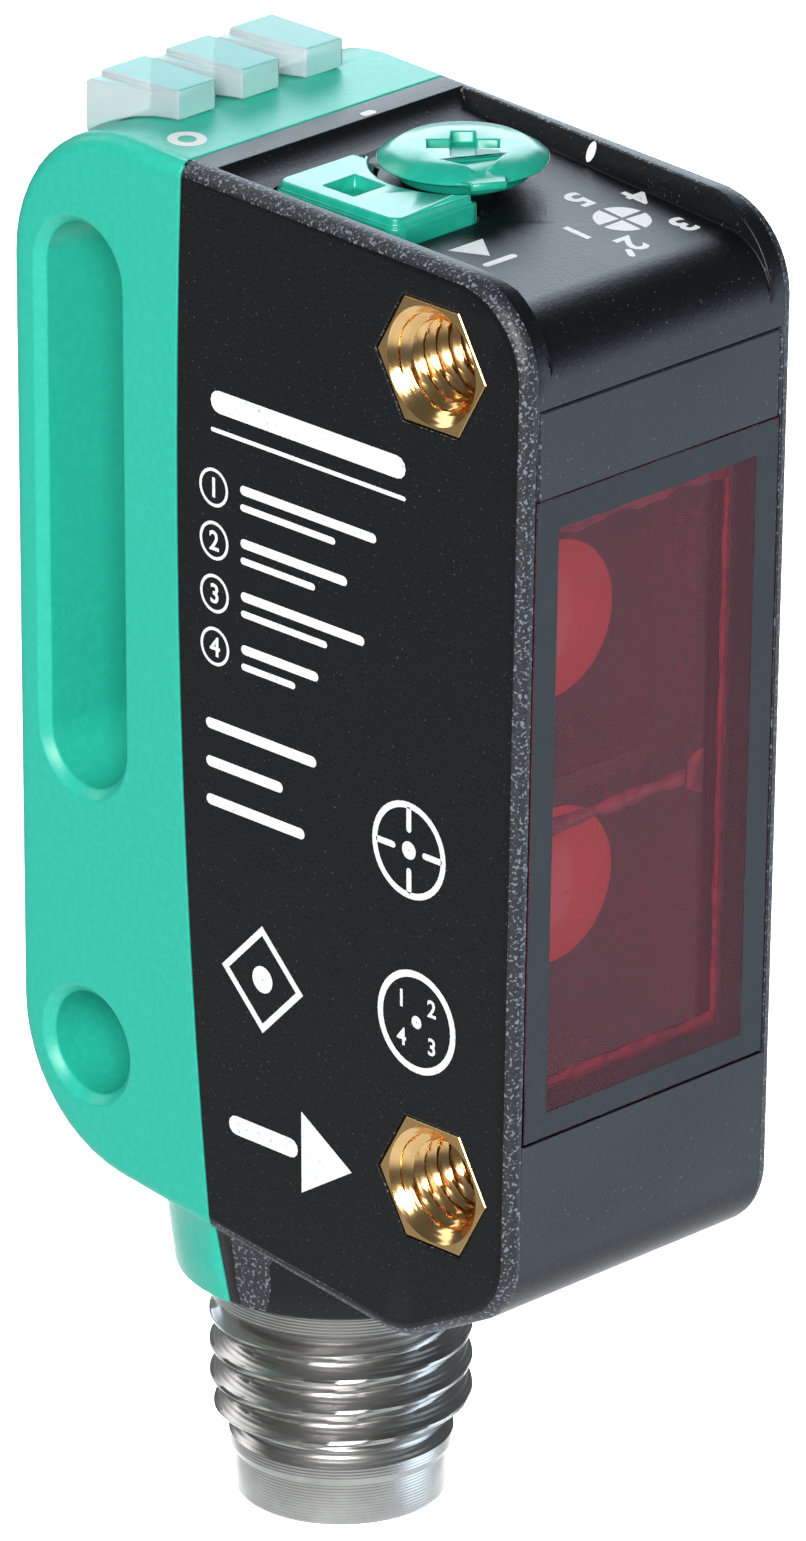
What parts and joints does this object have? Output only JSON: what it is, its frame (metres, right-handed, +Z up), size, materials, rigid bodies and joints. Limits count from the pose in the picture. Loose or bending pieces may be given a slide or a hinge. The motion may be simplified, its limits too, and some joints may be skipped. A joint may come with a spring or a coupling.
{
  "type": "photoelectric sensor",
  "caption": "Miniature photoelectric sensor with a threaded plug, a red front window, a mode knob and a teach button, side inserts and a rear slot.",
  "frame": {"origin": "on the axis of the lower mounting insert, in the middle of the body width", "axes": "+X across the body along the insert axes, -Y out of the optical front, +Z up from the plug to the indicator windows"},
  "size_m": [0.011, 0.0212, 0.0444],
  "materials": {
    "housing": "fine textured black polybutylene terephthalate",
    "cover": "satin turquoise plastic",
    "gasket": "soft black elastomer",
    "window": "polished dark red acrylic",
    "lens": "polished clear acrylic",
    "black_part": "smooth black moulding",
    "board": "solder-masked glass epoxy laminate",
    "chip": "moulded epoxy",
    "led": "cast epoxy",
    "capacitor": "sintered ceramic",
    "shield": "tinned sheet",
    "brass": "turned brass",
    "nickel": "turned and nickel-plated brass",
    "gold": "gold-plated contact",
    "white_part": "smooth white moulding",
    "light": "milky translucent light guide",
    "wire": "insulated wire"
  },
  "bodies": {
    "sensor_body": {"front_housing": "housing", "rear_cover": "cover", "cover_seal": "gasket", "insert_upper": "brass", "insert_lower": "brass", "front_window": "window", "window_seal": "gasket", "optics_carrier": "black_part", "emitter_lens": "lens", "receiver_lens": "lens", "emitter_led": "led", "receiver_diode": "chip", "main_board": "board", "controller_chip": "chip", "driver_chip": "chip", "amplifier_chip": "chip", "receiver_shield": "shield", "board_capacitors": "capacitor", "top_board": "board", "board_header": "black_part", "header_pins": "gold", "rotary_switch": "black_part", "key_switch": "black_part", "light_window_left": "light", "light_window_middle": "light", "light_window_right": "light", "indicator_led_left": "led", "indicator_led_middle": "led", "indicator_led_right": "led", "plug_shell": "nickel", "plug_seal": "gasket", "plug_insert": "black_part", "contact_pin_1": "gold", "contact_pin_2": "gold", "contact_pin_3": "gold", "contact_pin_4": "gold", "plug_leads": "wire"},
    "knob": {"mode_knob": "cover", "switch_rotor": "white_part", "knob_seal": "gasket"},
    "button": {"teach_button": "cover", "key_plunger": "white_part", "button_seal": "gasket"}
  },
  "joints": [
    {"name": "mode_knob_turn", "type": "hinge", "parent": "sensor_body", "child": "knob", "pos_m": [0.0008, 0.005, 0.028], "axis": [0, 0, 1], "range_deg": [-72, 72]},
    {"name": "teach_button_press", "type": "slide", "parent": "sensor_body", "child": "button", "axis": [0, 0, -1], "range_m": [0, 0.0003], "stiffness_N_per_m": 3000, "springref_m": -0.0001}
  ]
}
